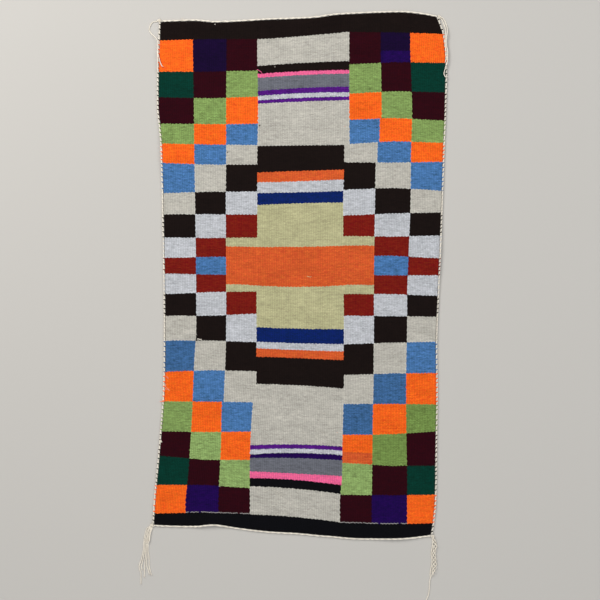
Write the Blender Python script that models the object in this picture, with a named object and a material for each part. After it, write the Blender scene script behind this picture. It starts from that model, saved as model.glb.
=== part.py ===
"""Hand-woven wool rug lying flat: woven cloth, edge cords and knotted corner tassels.

Metres, +Z up, +Y towards the rug's head, +X to the right as seen from above. The origin is in the
middle of the cloth's underside. The sizes below are in millimetres and are turned into metres by MM.
"""
import math

import bmesh
import bpy
from mathutils import Vector

MM = 0.001

# Driving dimensions
CLOTH_THICKNESS = 4.0
RIM_ROUNDING = 1.1
SIDE_CORD = 5.0
END_CORD = 4.2
STRAND_WIDTH = 2.0
STRAND_HEIGHT = 1.8
FORK_WIDTH = 1.6
FORK_HEIGHT = 1.4
KNOT_HEIGHT = 5.0
KNOT_ROUNDING = 1.0
GAP = 0.5

# Fineness of the meshes
CLOTH_COLUMNS = 25
CLOTH_ROWS = 45
STRAND_STEP = 7.0
CORD_FACETS = 2
OUTLINE_PASSES = 6
SMOOTH_ANGLE = 50.0

# The rug's outline with its cords: where the two sides run at each height
SIDES = (
    # y, left, right
    (705, -380, 371),
    (680, -380, 381.5),
    (650, -381, 391.5),
    (580, -384, 399),
    (450, -385, 397),
    (400, -380, 395),
    (350, -376, 393),
    (145, -371, 386),
    (-70, -367.5, 377),
    (-180, -367, 373),
    (-320, -369.5, 374),
    (-470, -381, 372),
    (-610, -394, 370),
    (-660, -397, 365.5),
    (-705, -400, 359),
)

# The rug's outline with its cords: where the foot and the head run at each station across
ENDS = (
    # x, foot, head
    (-400, -678, 686),
    (-328, -681, 689),
    (-279, -681, 690),
    (-230, -677, 686),
    (-170, -686, 688),
    (-85, -696, 693),
    (0, -701, 696),
    (50, -706, 699),
    (90, -709, 705),
    (145, -714, 709),
    (215, -715, 712),
    (280, -714, 713),
    (330, -709, 708),
    (373, -703, 700),
    (400, -699, 694),
)

# Soft places where the rug's edge stands a little off the surface
LIFTS = (
    # x, y, reach along x, reach along y, height
    (-392, 330, 62, 120, 4.5),
    (-240, -690, 66, 62, 5.0),
    (70, 712, 76, 60, 4.0),
    (392, 60, 62, 130, 3.5),
    (262, -728, 80, 60, 3.0),
)

# Puckers of the weave, raised on the upper face only
PUCKERS = (
    # x, y, reach along x, reach along y, height
    (50, 436, 46, 24, 0.9),
    (68, -374, 38, 22, 0.8),
    (66, -434, 36, 24, 0.8),
    (-95, 40, 60, 20, 0.5),
    (60, 25, 60, 22, 0.5),
)

# How far each cord stops short of the cloth's corners, to clear the knots there
SIDE_CORD_TRIMS = {
    # name: at the foot, at the head
    "side_cord_left": (10.0, 4.5),
    "side_cord_right": (2.5, 13.0),
}
END_CORD_TRIMS = {
    # name: at the left, at the right
    "end_cord_top": (5.0, 1.5),
    "end_cord_bottom": (5.0, 1.5),
}

# Outline of each corner knot as seen from above
KNOTS = {
    "tassel_top_left": (
        (-383, 680), (-378.5, 680), (-377.5, 684), (-371.5, 685), (-371, 691), (-376, 694), (-383, 691),
        (-386, 685),
    ),
    "tassel_top_right": (
        (371.5, 697), (377, 694), (383.5, 688.5), (388, 694), (381, 702), (374, 706), (370.5, 703),
    ),
    "tassel_bottom_left": (
        (-398, -668), (-406, -673), (-412, -681), (-405, -687), (-399, -689), (-392, -679), (-395, -674),
    ),
    "tassel_bottom_right": (
        (357, -704), (356, -711), (358, -717), (369, -717), (370, -711), (364, -703),
    ),
}

# Routes of the loose strands, chosen by hand: x, y and the height of the strand's underside
STRANDS = {
    "tassel_top_left": (
        (
            (-382, 686, 0), (-387, 685, 0), (-394, 684, 0), (-399, 681, 0), (-403, 674, 0), (-406, 664, 0),
            (-401, 653, 0), (-393, 645, 3.2), (-386, 637, 5.5), (-382, 629, 5.5), (-383, 606, 5.5),
            (-383, 570, 5.5), (-382, 549, 5.5),
        ),
    ),
    "tassel_top_right": (
        (
            (380, 695, 0), (386, 687, 0), (391, 675, 0), (394, 663, 3.6), (393.5, 652, 5.5), (393, 640, 5.5),
            (393, 624, 5.5), (395, 605, 5.5), (396, 589, 5.5), (394, 575, 5.5),
        ),
        (
            (383, 697, 0), (391, 690, 0), (396, 678, 0), (399, 663, 3.2), (398, 650, 5.5), (396.5, 640, 5.5),
            (396, 624, 5.5), (399, 605, 5.5), (399.5, 586, 5.5), (398, 571, 5.5), (393, 556, 5.5),
            (390, 544, 5.5), (393, 535, 5.5), (398, 534, 5.5),
        ),
    ),
    "tassel_bottom_left": (
        (
            (-402, -678, 0), (-412, -685, 0), (-417, -699, 0), (-420, -718, 0), (-422, -742, 0),
            (-425, -759, 0), (-428, -772, 0), (-433, -786, 0), (-432, -795, 0), (-428, -806, 0),
            (-428, -818, 0), (-428, -834, 0),
        ),
        (
            (-401, -679, 0), (-409, -687, 0), (-414, -702, 0), (-417, -721, 0), (-419, -742, 0),
            (-421, -760, 0), (-424, -775, 0), (-427, -788, 0), (-425, -796, 0),
        ),
        (
            (-400, -680, 0), (-407, -689, 0), (-411, -705, 0), (-414, -724, 0), (-416, -745, 0),
            (-417, -767, 0), (-418, -788, 0), (-419, -815, 0),
        ),
        (
            (-399, -681, 0), (-404, -691, 0), (-408.5, -707, 0), (-411, -724, 0), (-412, -745, 0),
            (-412, -761, 0), (-413, -775, 0), (-411, -790, 0), (-407, -801, 0), (-405, -809, 0),
        ),
        (
            (-398, -681, 0), (-402, -693, 0), (-405.5, -709, 0), (-408, -725, 0), (-409, -742, 0),
            (-407, -759, 0), (-406, -772, 0), (-406, -786, 0), (-403, -799, 0), (-400, -811, 0),
        ),
        (
            (-397, -682, 0), (-399, -695, 0), (-402, -707, 0), (-404, -723, 0),
        ),
    ),
    "tassel_bottom_right": (
        (
            (360, -711, 0), (359, -732, 0), (356, -753, 0), (358, -770, 0), (356, -788, 0), (353, -805, 0),
            (354, -817, 0), (352, -829, 0), (351, -845, 0), (348, -864, 0), (343, -878, 0),
            (338, -894, 0), (337, -910, 0),
        ),
        (
            (363, -711, 0), (363, -732, 0), (360, -751, 0), (361, -770, 0), (360, -788, 0),
            (357, -806, 0), (358, -815, 0),
        ),
        (
            (365, -711, 0), (367, -729, 0), (363.5, -748, 0), (365, -770, 0), (365, -788, 0), (361, -807, 0),
        ),
        (
            (367, -712, 0), (371, -726, 0), (367, -745, 0), (369, -764, 0), (370, -780, 0), (371, -795, 0),
        ),
    ),
}

# A short end that leaves a strand part of the way along it
FORKS = {
    "tassel_top_left": (
        ((-383, 604, 5.7), (-380, 589, 5.7), (-375, 572, 5.5), (-370, 562, 5.2)),
    ),
}

# Colour, red green blue, and roughness of each piece
YARN_ROUGHNESS = 0.92
YARNS = {
    "weaving": (0.62, 0.28, 0.13),
    "side_cord_left": (0.34, 0.31, 0.28),
    "side_cord_right": (0.34, 0.31, 0.28),
    "end_cord_top": (0.66, 0.62, 0.54),
    "end_cord_bottom": (0.66, 0.62, 0.54),
    "tassel_top_left": (0.64, 0.60, 0.51),
    "tassel_top_right": (0.68, 0.64, 0.57),
    "tassel_bottom_left": (0.60, 0.57, 0.49),
    "tassel_bottom_right": (0.60, 0.57, 0.49),
}


def clear_scene():
    """Remove every object that the file opened with."""
    for item in list(bpy.data.objects):
        bpy.data.objects.remove(item, do_unlink=True)


def smooth_column(table, column, at):
    """Read one column of a table at a station, on a smooth curve through the table's rows."""
    rows = sorted(table)
    at = min(max(at, rows[0][0]), rows[-1][0])
    low = max(i for i, row in enumerate(rows[:-1]) if row[0] <= at)
    start, stop = rows[low], rows[low + 1]
    before = rows[max(low - 1, 0)]
    after = rows[min(low + 2, len(rows) - 1)]
    span = stop[0] - start[0]
    slope_in = (stop[column] - before[column]) / (stop[0] - before[0]) * span
    slope_out = (after[column] - start[column]) / (after[0] - start[0]) * span
    t = (at - start[0]) / span
    return (
        start[column] * (2 * t ** 3 - 3 * t ** 2 + 1)
        + slope_in * (t ** 3 - 2 * t ** 2 + t)
        + stop[column] * (3 * t ** 2 - 2 * t ** 3)
        + slope_out * (t ** 3 - t ** 2)
    )


def rug_point(across, along, side_inset, end_inset):
    """Find the place that lies at these shares of the rug's width and length, inside the insets."""
    x = 0.0
    y = 0.0
    for _ in range(OUTLINE_PASSES):
        left = smooth_column(SIDES, 1, y) + side_inset
        right = smooth_column(SIDES, 2, y) - side_inset
        x = left + (right - left) * across
        foot = smooth_column(ENDS, 1, x) + end_inset
        head = smooth_column(ENDS, 2, x) - end_inset
        y = foot + (head - foot) * along
    return x, y


def soft_height(table, x, y):
    """Add up the soft round rises of a table at one place."""
    total = 0.0
    for centre_x, centre_y, reach_x, reach_y, height in table:
        distance = math.hypot((x - centre_x) / reach_x, (y - centre_y) / reach_y)
        if distance < 1.0:
            total += height * (0.5 + 0.5 * math.cos(math.pi * distance))
    return total


def yarn_material(name):
    """Make the plain wool material of one piece."""
    material = bpy.data.materials.new(name + "_yarn")
    material.use_nodes = True
    shader = material.node_tree.nodes["Principled BSDF"]
    shader.inputs["Base Color"].default_value = (*YARNS[name], 1.0)
    shader.inputs["Roughness"].default_value = YARN_ROUGHNESS
    shader.inputs["Metallic"].default_value = 0.0
    return material


def add_object(name, data):
    """Put finished data into the scene as one named object with its material."""
    item = bpy.data.objects.new(name, data)
    bpy.context.scene.collection.objects.link(item)
    if name in YARNS:
        data.materials.append(yarn_material(name))
    return item


def mesh_from(shape, name):
    """Turn the finished bmesh into a mesh with its faces pointing out."""
    bmesh.ops.recalc_face_normals(shape, faces=shape.faces[:])
    mesh = bpy.data.meshes.new(name)
    shape.to_mesh(mesh)
    shape.free()
    return mesh


def make_cloth():
    """Model the woven cloth: a sheet on the rug's outline, raised along the lifts, with a rounded rim."""
    shape = bmesh.new()
    bmesh.ops.create_grid(shape, x_segments=CLOTH_COLUMNS, y_segments=CLOTH_ROWS, size=0.5)
    for vert in shape.verts:
        x, y = rug_point(vert.co.x + 0.5, vert.co.y + 0.5, SIDE_CORD + GAP, END_CORD + GAP)
        vert.co = Vector((x, y, soft_height(LIFTS, x, y))) * MM
    result = bmesh.ops.extrude_face_region(shape, geom=shape.faces[:])
    upper = [item for item in result["geom"] if isinstance(item, bmesh.types.BMVert)]
    for vert in upper:
        rise = CLOTH_THICKNESS + soft_height(PUCKERS, vert.co.x / MM, vert.co.y / MM)
        vert.co.z += rise * MM
    upper_faces = {item for item in result["geom"] if isinstance(item, bmesh.types.BMFace)}
    rim = [
        edge for edge in shape.edges
        if len(edge.link_faces) == 2 and sum(face in upper_faces for face in edge.link_faces) == 1
    ]
    bmesh.ops.bevel(shape, geom=rim, offset=RIM_ROUNDING * MM, segments=1, affect="EDGES")
    cloth = add_object("weaving", mesh_from(shape, "weaving"))
    cloth.data.shade_smooth()
    cloth.data.set_sharp_from_angle(angle=math.radians(SMOOTH_ANGLE))
    return cloth


def make_cord(name, places, diameter):
    """Lay a round cord through places along an edge, resting on the surface or on the rug's lifts."""
    curve = bpy.data.curves.new(name, "CURVE")
    curve.dimensions = "3D"
    curve.twist_mode = "Z_UP"
    curve.bevel_depth = diameter / 2 * MM
    curve.bevel_resolution = CORD_FACETS
    curve.use_fill_caps = True
    spline = curve.splines.new("POLY")
    spline.points.add(len(places) - 1)
    for point, (x, y) in zip(spline.points, places):
        height = diameter / 2 + soft_height(LIFTS, x, y)
        point.co = (x * MM, y * MM, height * MM, 1.0)
    return add_object(name, curve)


def cord_shares(count, length, trims):
    """List a cord's stations as shares of its edge: the trimmed ends and the cloth's own stations between."""
    first, last = trims[0] / length, 1.0 - trims[1] / length
    return [first] + [i / count for i in range(1, count)] + [last]


def side_cord_places(name):
    """List the places of a side cord's middle line from the foot to the head."""
    across = 0.0 if name.endswith("left") else 1.0
    insets = (SIDE_CORD / 2, END_CORD + GAP)
    length = rug_point(across, 1.0, *insets)[1] - rug_point(across, 0.0, *insets)[1]
    shares = cord_shares(CLOTH_ROWS, length, SIDE_CORD_TRIMS[name])
    return [rug_point(across, along, *insets) for along in shares]


def end_cord_places(name):
    """List the places of an end cord's middle line from left to right."""
    along = 0.0 if name.endswith("bottom") else 1.0
    insets = (SIDE_CORD + GAP, END_CORD / 2)
    length = rug_point(1.0, along, *insets)[0] - rug_point(0.0, along, *insets)[0]
    shares = cord_shares(CLOTH_COLUMNS, length, END_CORD_TRIMS[name])
    return [rug_point(across, along, *insets) for across in shares]


def smooth_route(points):
    """Run an even, smooth curve through the route's own points."""
    places = [Vector(point) for point in points]
    route = [places[0]]
    for i in range(len(places) - 1):
        before = places[max(i - 1, 0)]
        start, stop = places[i], places[i + 1]
        after = places[min(i + 2, len(places) - 1)]
        steps = max(1, round((stop - start).length / STRAND_STEP))
        for step in range(1, steps + 1):
            t = step / steps
            route.append(0.5 * (
                2 * start
                + (stop - before) * t
                + (2 * before - 5 * start + 4 * stop - after) * t ** 2
                + (3 * start - before - 3 * stop + after) * t ** 3
            ))
    return route


def strand_section(route, i, width, height):
    """Work out the four corners of a strand's upright section at one point of its route."""
    ahead = route[min(i + 1, len(route) - 1)]
    behind = route[max(i - 1, 0)]
    forward = Vector((ahead.x - behind.x, ahead.y - behind.y, 0.0)).normalized()
    side = Vector((-forward.y, forward.x, 0.0)) * (width / 2)
    up = Vector((0.0, 0.0, height))
    base = Vector((route[i].x, route[i].y, max(route[i].z, 0.0)))
    return [(base - side) * MM, (base + side) * MM, (base + side + up) * MM, (base - side + up) * MM]


def make_strand(name, points, width, height):
    """Extrude one loose strand along its route, level on what it lies on."""
    route = smooth_route(points)
    shape = bmesh.new()
    corners = [shape.verts.new(place) for place in strand_section(route, 0, width, height)]
    face = shape.faces.new(corners)
    for i in range(1, len(route)):
        inner = face
        result = bmesh.ops.extrude_face_region(shape, geom=[inner])
        face = next(item for item in result["geom"] if isinstance(item, bmesh.types.BMFace))
        for vert, place in zip(face.verts, strand_section(route, i, width, height)):
            vert.co = place
        if i > 1:
            shape.faces.remove(inner)
    strand = add_object(name, mesh_from(shape, name))
    strand.hide_render = True
    strand.display_type = "WIRE"
    return strand


def make_knot(name):
    """Model the corner knot as a low rounded block on its outline."""
    shape = bmesh.new()
    corners = [shape.verts.new((x * MM, y * MM, 0.0)) for x, y in KNOTS[name]]
    base = shape.faces.new(corners)
    result = bmesh.ops.extrude_face_region(shape, geom=[base])
    upper = [item for item in result["geom"] if isinstance(item, bmesh.types.BMVert)]
    bmesh.ops.translate(shape, verts=upper, vec=(0.0, 0.0, KNOT_HEIGHT * MM))
    rim = [edge for edge in shape.edges if all(vert in upper for vert in edge.verts)]
    bmesh.ops.bevel(shape, geom=rim, offset=KNOT_ROUNDING * MM, segments=1, affect="EDGES")
    return add_object(name, mesh_from(shape, name))


def make_tassel(name):
    """Fuse the roots of a corner's loose strands into its knot."""
    tassel = make_knot(name)
    pieces = [(points, STRAND_WIDTH, STRAND_HEIGHT) for points in STRANDS[name]]
    pieces += [(points, FORK_WIDTH, FORK_HEIGHT) for points in FORKS.get(name, ())]
    for number, (points, width, height) in enumerate(pieces, 1):
        strand = make_strand(f"{name}_strand_{number}", points, width, height)
        union = tassel.modifiers.new(f"strand_{number}", "BOOLEAN")
        union.operation = "UNION"
        union.solver = "EXACT"
        union.object = strand
    return tassel


def main():
    """Build the whole rug."""
    clear_scene()
    make_cloth()
    for name in SIDE_CORD_TRIMS:
        make_cord(name, side_cord_places(name), SIDE_CORD)
    for name in END_CORD_TRIMS:
        make_cord(name, end_cord_places(name), END_CORD)
    for name in KNOTS:
        make_tassel(name)


main()
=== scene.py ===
import math
import random
from functools import partial

import bmesh
import bpy
import numpy as np
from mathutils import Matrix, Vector
from mathutils import noise


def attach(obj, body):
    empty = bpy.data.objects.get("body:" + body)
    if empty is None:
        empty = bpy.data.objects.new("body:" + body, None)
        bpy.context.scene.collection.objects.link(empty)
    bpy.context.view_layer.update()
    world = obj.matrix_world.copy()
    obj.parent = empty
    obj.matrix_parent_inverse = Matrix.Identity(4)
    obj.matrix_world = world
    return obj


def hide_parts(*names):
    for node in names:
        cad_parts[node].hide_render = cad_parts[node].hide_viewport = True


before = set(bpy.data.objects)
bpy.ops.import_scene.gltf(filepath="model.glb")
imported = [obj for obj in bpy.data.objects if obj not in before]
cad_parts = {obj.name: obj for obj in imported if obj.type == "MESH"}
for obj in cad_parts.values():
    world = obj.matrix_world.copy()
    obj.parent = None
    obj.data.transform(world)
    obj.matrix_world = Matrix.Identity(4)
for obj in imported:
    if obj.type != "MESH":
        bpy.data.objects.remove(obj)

scene = bpy.context.scene
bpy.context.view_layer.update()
mm = 0.001  # all sizes below are millimetres, with the origin under the middle of the rug

# Where the camera hangs: straight above the rug, as the photo looks at it
view = {
    "photoSize": 600,  # pixels across the photo
    "pixel": 2.7,  # millimetres of rug that one pixel covers
    "originColumn": 299.5,  # the pixel that lies over the rug's origin
    "originRow": 275.0,
    "height": 4200.0,  # above the rug's upper face
}

# Soft light: x, y, z of the lamp, its width, its strength and its tint
lamps = {
    "windowLight": ((-2100, 2300, 2500), 1900, 132.0, (1.0, 0.985, 0.96)),
    "fillLight": ((2600, 700, 2900), 2400, 57.0, (0.97, 0.985, 1.0)),
    "footLight": ((-300, -3100, 3000), 2400, 43.0, (1.0, 0.99, 0.98)),
}
surround = {
    "floorWidth": 12000.0,
    "floorColour": (184, 181, 176),
    "floorRoughness": 0.8,
    "skyColour": (0.86, 0.88, 0.9),
    "sky": 0.42,  # strength of the light from all round
}

# The rug's outline with its cords: y, then x of the left and the right side
rugSides = (
    (705, -380, 371), (680, -380, 381.5), (650, -381, 391.5), (580, -384, 399), (450, -385, 397),
    (400, -380, 395), (350, -376, 393), (145, -371, 386), (-70, -367.5, 377), (-180, -367, 373),
    (-320, -369.5, 374), (-470, -381, 372), (-610, -394, 370), (-660, -397, 365.5), (-705, -400, 359),
)

# The same outline at its ends: x, then y of the foot and of the head
rugEnds = (
    (-400, -678, 686), (-328, -681, 689), (-279, -681, 690), (-230, -677, 686), (-170, -686, 688),
    (-85, -696, 693), (0, -701, 696), (50, -706, 699), (90, -709, 705), (145, -714, 709),
    (215, -715, 712), (280, -714, 713), (330, -709, 708), (373, -703, 700), (400, -699, 694),
)

# Where the edge stands a little off the surface: x, y, reach along x, reach along y, height
lifts = (
    (-392, 330, 62, 120, 4.5), (-240, -690, 66, 62, 5.0), (70, 712, 76, 60, 4.0), (392, 60, 62, 130, 3.5),
    (262, -728, 80, 60, 3.0),
)

# Puckers of the upper face, in the same columns
puckers = (
    (50, 436, 46, 24, 0.9), (68, -374, 38, 22, 0.8), (66, -434, 36, 24, 0.8), (-95, 40, 60, 20, 0.5),
    (60, 25, 60, 22, 0.5), (8, -76, 74, 22, 0.5), (-58, -586, 34, 12, 0.6), (-40, -572, 20, 10, 0.5),
)

cloth = {
    "warps": 160,  # one rib each
    "rows": 128,  # rows of faces from foot to head
    "thickness": 4.0,
    "rib": 0.24,  # how far a rib rises and a groove falls
    "waviness": 0.75,  # slow unevenness of the upper face
    "wave": 46.0,
    "rim": 1.1,
    "rimAngle": 60,  # an edge this sharp, in degrees, belongs to the rim
    "sideInset": 5.5,  # the side cord and its gap
    "endInset": 4.5,
    "pick": 2.1,  # height of one pass of the weft
    "flatSize": (0.765, 1.385),  # metres
}

# The warp lines where the blocks of colour meet: y, then x of each of the six lines
joinWarps = (18, 36, 54, 103, 121, 142)
joinLines = (
    (607, -288, -197, -114, 120, 206, 299),
    (445, -285, -198, -112, 120, 208, 304),
    (324, -284, -198, -114, 121, 206, 301),
    (202, -282, -199, -114, 118, 204, 300),
    (68, -280, -198.5, -114, 118.5, 202, 295),
    (-40, -279, -198, -116, 119, 201, 291),
    (-148, -279, -198, -116, 120, 201, 290.5),
    (-230, -284, -200, -116.5, 119, 200, 288.5),
    (-297, -287, -203, -117, 120, 200, 288),
    (-378, -290, -206, -124, 118, 198, 288),
    (-459, -295, -207, -128.5, 116, 197, 289),
    (-540, -300.5, -211, -130, 115, 196, 290.5),
    (-608, -308, -214, -129, 109, 195, 290.5),
)

# Upper edge of each row of checks, counted from the head: y in the outer, middle and inner block
leftRows = (
    (634, 637, 637), (549, 549, 551), (479, 477, 480), (408, 407, 408), (354, 352, 351), (301, 298, 298),
    (222, 225, 225), (164, 164, 163), (101, 100, 101), (47, 49, 49), (3, 1, 1), (-50, -46, -45),
    (-110, -110, -106), (-177, -177, -180), (-260, -257, -259), (-341, -342, -343), (-423, -424, -423),
    (-491, -499, -499), (-567, -567, -573), (-643, -641, -644),
)
rightRows = (
    (652, 655, 656), (574, 575, 570), (494, 496, 491), (419, 424, 421), (358, 361, 355), (305, 303, 304),
    (230, 236, 232), (168, 166, 162), (106, 104, 105), (47, 52, 51), (-1, -1, 0), (-55, -52, -52),
    (-112, -111, -110), (-181, -183, -186), (-265, -266, -269), (-349, -348, -348), (-424, -430, -431),
    (-515, -515, -509), (-594, -595, -594), (-671, -673, -670),
)
warpKnots = (0, *joinWarps, cloth["warps"])  # those lines' warps, with the cloth's two sides
leftCentres = (9, 27, 45)  # warps in the middle of the outer, middle and inner block
rightCentres = (151, 131.5, 112)
rowsBeyond = 60.0  # how far the rows go on evenly past the first and last border

# Stripes of the centre panel from head to foot: yarn, then y of the upper edge at left, middle and right
panelBands = (
    ("cream", 636, 644.5, 655.5), ("umber", 564, 572.5, 577.5), ("pink", 543, 550, 553),
    ("grey", 532, 540, 544), ("violet", 496.5, 505, 509), ("white", 483.5, 490.7, 493),
    ("violet", 471.5, 478.5, 482), ("cream", 463, 468, 472), ("umber", 348, 350, 351),
    ("rust", 276.5, 281, 284.5), ("white", 250, 253, 258.5), ("royal", 221.5, 223.5, 226.5),
    ("straw", 188.5, 193.5, 195.5), ("rust", 76, 76, 79), ("straw", -28.5, -32, -27.5),
    ("royal", -141, -145, -146.5), ("white", -180, -184.5, -186.5), ("rust", -197, -203, -205.5),
    ("umber", -221, -224.5, -230.5), ("cream", -294, -298.5, -307), ("violet", -459.5, -457.5, -463.5),
    ("white", -471, -469, -474.5), ("grape", -485.5, -480.5, -486.5), ("grey", -494, -494.5, -501),
    ("pink", -529.5, -536.5, -542.5), ("ink", -548.5, -553.5, -568.5), ("cream", -570.5, -577.5, -591),
    ("ink", -646.5, -653.5, -667.5),
)
panelReach = (-1.4, 1.1)  # how far the stripes run on past the panel's middle, in half widths

# Yarns in the order in which the checks step through them, from the corner inwards to row 10
checkOrder = ("orange", "plum", "maroon", "leaf", "orange", "sky", "cream", "umber", "white", "red", "sky")

# Checks woven from another dye lot: 0 at the left or 1 at the right, row and column from 0, yarn
dyeLots = (
    (0, 13, 0, "skyDark"), (1, 14, 1, "skyDark"), (1, 15, 2, "skyDark"), (1, 15, 0, "leafDark"),
    (1, 16, 1, "leafDark"), (0, 16, 1, "leafLight"), (0, 17, 2, "leafLight"), (1, 17, 2, "leafLight"),
)

# Dyed wool, as red, green and blue out of 255
yarns = {
    "orange": (253, 104, 29), "plum": (21, 3, 45), "plumBright": (30, 2, 76), "maroon": (45, 1, 13),
    "leaf": (132, 159, 90), "sky": (74, 120, 173), "cream": (192, 188, 178), "umber": (23, 14, 12),
    "white": (195, 197, 202), "red": (123, 25, 16), "forest": (0, 54, 43), "pink": (244, 104, 154),
    "grey": (109, 111, 120), "violet": (84, 22, 128), "grape": (32, 2, 76), "rust": (216, 92, 44),
    "royal": (8, 34, 98), "straw": (187, 183, 141), "ink": (7, 7, 12), "cordWhite": (229, 221, 207),
    "skyDark": (63, 104, 151), "leafDark": (118, 145, 75), "leafLight": (144, 172, 103),
}


def linearColour(values):
    shares = [value / 255 for value in values]
    return [s / 12.92 if s <= 0.04045 else ((s + 0.055) / 1.055) ** 2.4 for s in shares] + [1.0]


# Reads one column of a table on a smooth curve through its rows, at one place or at many
def readTable(table, column, at):
    rows = np.array(sorted(table), float)
    stations, values = rows[:, 0], rows[:, column]
    at = np.clip(at, stations[0], stations[-1])
    low = np.clip(np.searchsorted(stations, at, "right") - 1, 0, len(stations) - 2)
    before, after = np.maximum(low - 1, 0), np.minimum(low + 2, len(stations) - 1)
    span = stations[low + 1] - stations[low]
    slopeIn = (values[low + 1] - values[before]) / (stations[low + 1] - stations[before]) * span
    slopeOut = (values[after] - values[low]) / (stations[after] - stations[low]) * span
    t = (at - stations[low]) / span
    return (
        values[low] * (2 * t ** 3 - 3 * t ** 2 + 1) + slopeIn * (t ** 3 - 2 * t ** 2 + t)
        + values[low + 1] * (3 * t ** 2 - 2 * t ** 3) + slopeOut * (t ** 3 - t ** 2)
    )


def softHeight(table, x, y):
    total = np.zeros_like(np.asarray(x, float))
    for centreX, centreY, reachX, reachY, height in table:
        distance = np.minimum(np.hypot((x - centreX) / reachX, (y - centreY) / reachY), 1.0)
        total = total + height * (0.5 + 0.5 * np.cos(np.pi * distance))
    return total


# Maps a value from one row of stations to another, in a straight step from each to the next
def mapAlong(value, stations, values):
    mapped = values[0] + np.zeros_like(value)
    for k in range(len(stations) - 1):
        share = np.clip((value - stations[k]) / (stations[k + 1] - stations[k]), 0, 1)
        mapped = mapped + (values[k + 1] - values[k]) * share
    return mapped


# Where each named warp line runs at a height y, the cloth's own two sides included
def linesAt(y):
    inner = [readTable(joinLines, column, y) for column in range(1, len(joinWarps) + 1)]
    left = readTable(rugSides, 1, y) + cloth["sideInset"]
    right = readTable(rugSides, 2, y) - cloth["sideInset"]
    return [left, *inner, right]


def endsAt(x):
    return readTable(rugEnds, 1, x) + cloth["endInset"], readTable(rugEnds, 2, x) - cloth["endInset"]


# Where a warp's point lies, found in a few rounds because the lines bend along the rug
def clothPlaces(warp, along):
    y = np.zeros_like(warp)
    for _ in range(6):
        x = mapAlong(warp, warpKnots, linesAt(y))
        foot, head = endsAt(x)
        y = foot + (head - foot) * along
    return x, y


# Which warp lies at a place, from 0 at the left to 160 at the right
def warpAt(x, y):
    return mapAlong(x, linesAt(y), warpKnots)


# Follows the weaving across a set of borders: at each border it reads that border's usual height
def followBorders(edges, usual, y):
    edges = [edges[0] + rowsBeyond, *edges, edges[-1] - rowsBeyond]
    usual = [usual[0] + rowsBeyond, *usual, usual[-1] - rowsBeyond]
    return mapAlong(y, edges, usual)


# How high a place lies among the rows of checks, as if each row were level and as tall as at the left
def checkAt(rows, centres, warp, y):
    outer, middle, inner = centres
    half = abs(middle - outer) / 2
    warp = np.clip(warp, min(outer, inner) - half, max(outer, inner) + half)
    toOuter, toInner = (warp - middle) / (outer - middle), (warp - middle) / (inner - middle)
    edges = [b + np.where(toOuter > 0, (a - b) * toOuter, (c - b) * toInner) for a, b, c in rows]
    return followBorders(edges, [row[1] for row in leftRows], y)


# The same for the panel's stripes, which run askew and a little bowed
def bandAt(x, y):
    left, right = readTable(joinLines, 3, y), readTable(joinLines, 4, y)
    askew = np.clip((2 * x - left - right) / (right - left), *panelReach)
    edges = [m + (r - l) * askew / 2 + ((l + r) / 2 - m) * askew ** 2 for _, l, m, r in panelBands]
    return followBorders(edges, [row[2] for row in panelBands], y)


def setNumbers(mesh, name, values):
    layer = mesh.attributes.new(name, "FLOAT", "POINT")
    layer.data.foreach_set("value", np.asarray(values, np.float32))


# Tells every point of a piece which yarn crosses it
def chartPattern(mesh):
    places = np.zeros(len(mesh.vertices) * 3, np.float32)
    mesh.vertices.foreach_get("co", places)
    places = places.reshape(-1, 3).astype(float) / mm
    x, y = places[:, 0], places[:, 1]
    warp = warpAt(x, y)
    foot, head = endsAt(x)
    middleFoot, middleHead = endsAt(np.zeros(1))
    along = (y - foot) / (head - foot)
    setNumbers(mesh, "warp", warp)
    setNumbers(mesh, "weft", along * (middleHead - middleFoot))
    atLeft = checkAt(leftRows, leftCentres, warp, y)
    atRight = checkAt(rightRows, rightCentres, warp, y)
    setNumbers(mesh, "check", np.where(warp < cloth["warps"] / 2, atLeft, atRight))
    setNumbers(mesh, "band", bandAt(x, y))


def newObject(name, data):
    item = bpy.data.objects.new(name, data)
    scene.collection.objects.link(item)
    return item


def meshObject(name, shape):
    mesh = bpy.data.meshes.new(name)
    shape.to_mesh(mesh)
    shape.free()
    return newObject(name, mesh)


def finishPiece(name, shape, node=None):
    piece = meshObject(name, shape)
    if node:
        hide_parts(node)
    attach(piece, "root")
    return piece


# Small helpers that place shader nodes and join them up
def feed(tree, value, socket):
    if isinstance(value, bpy.types.NodeSocket):
        tree.links.new(value, socket)
    else:
        socket.default_value = value


# Short signs for the sums that calc makes most often
signs = {
    "+": "ADD", "-": "SUBTRACT", "*": "MULTIPLY", "/": "DIVIDE", "*+": "MULTIPLY_ADD",
    "<": "LESS_THAN", ">": "GREATER_THAN",
}


def calc(tree, operation, *values):
    node = tree.nodes.new("ShaderNodeMath")
    node.operation = signs.get(operation, operation)
    for value, socket in zip(values, node.inputs):
        feed(tree, value, socket)
    return node.outputs[0]


def number(tree, name):
    node = tree.nodes.new("ShaderNodeAttribute")
    node.attribute_name = name
    return node.outputs["Fac"]


def blend(tree, share, first, second, kind="MIX"):
    node = tree.nodes.new("ShaderNodeMix")
    node.data_type = "RGBA"
    node.blend_type = kind
    for value, socket in zip((share, first, second), (0, 6, 7)):  # a Mix node's factor and two colours
        feed(tree, value, node.inputs[socket])
    return node.outputs[2]


def vector(tree, x, y, z=0.0):
    node = tree.nodes.new("ShaderNodeCombineXYZ")
    for value, socket in zip((x, y, z), node.inputs):
        feed(tree, value, socket)
    return node.outputs[0]


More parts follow.
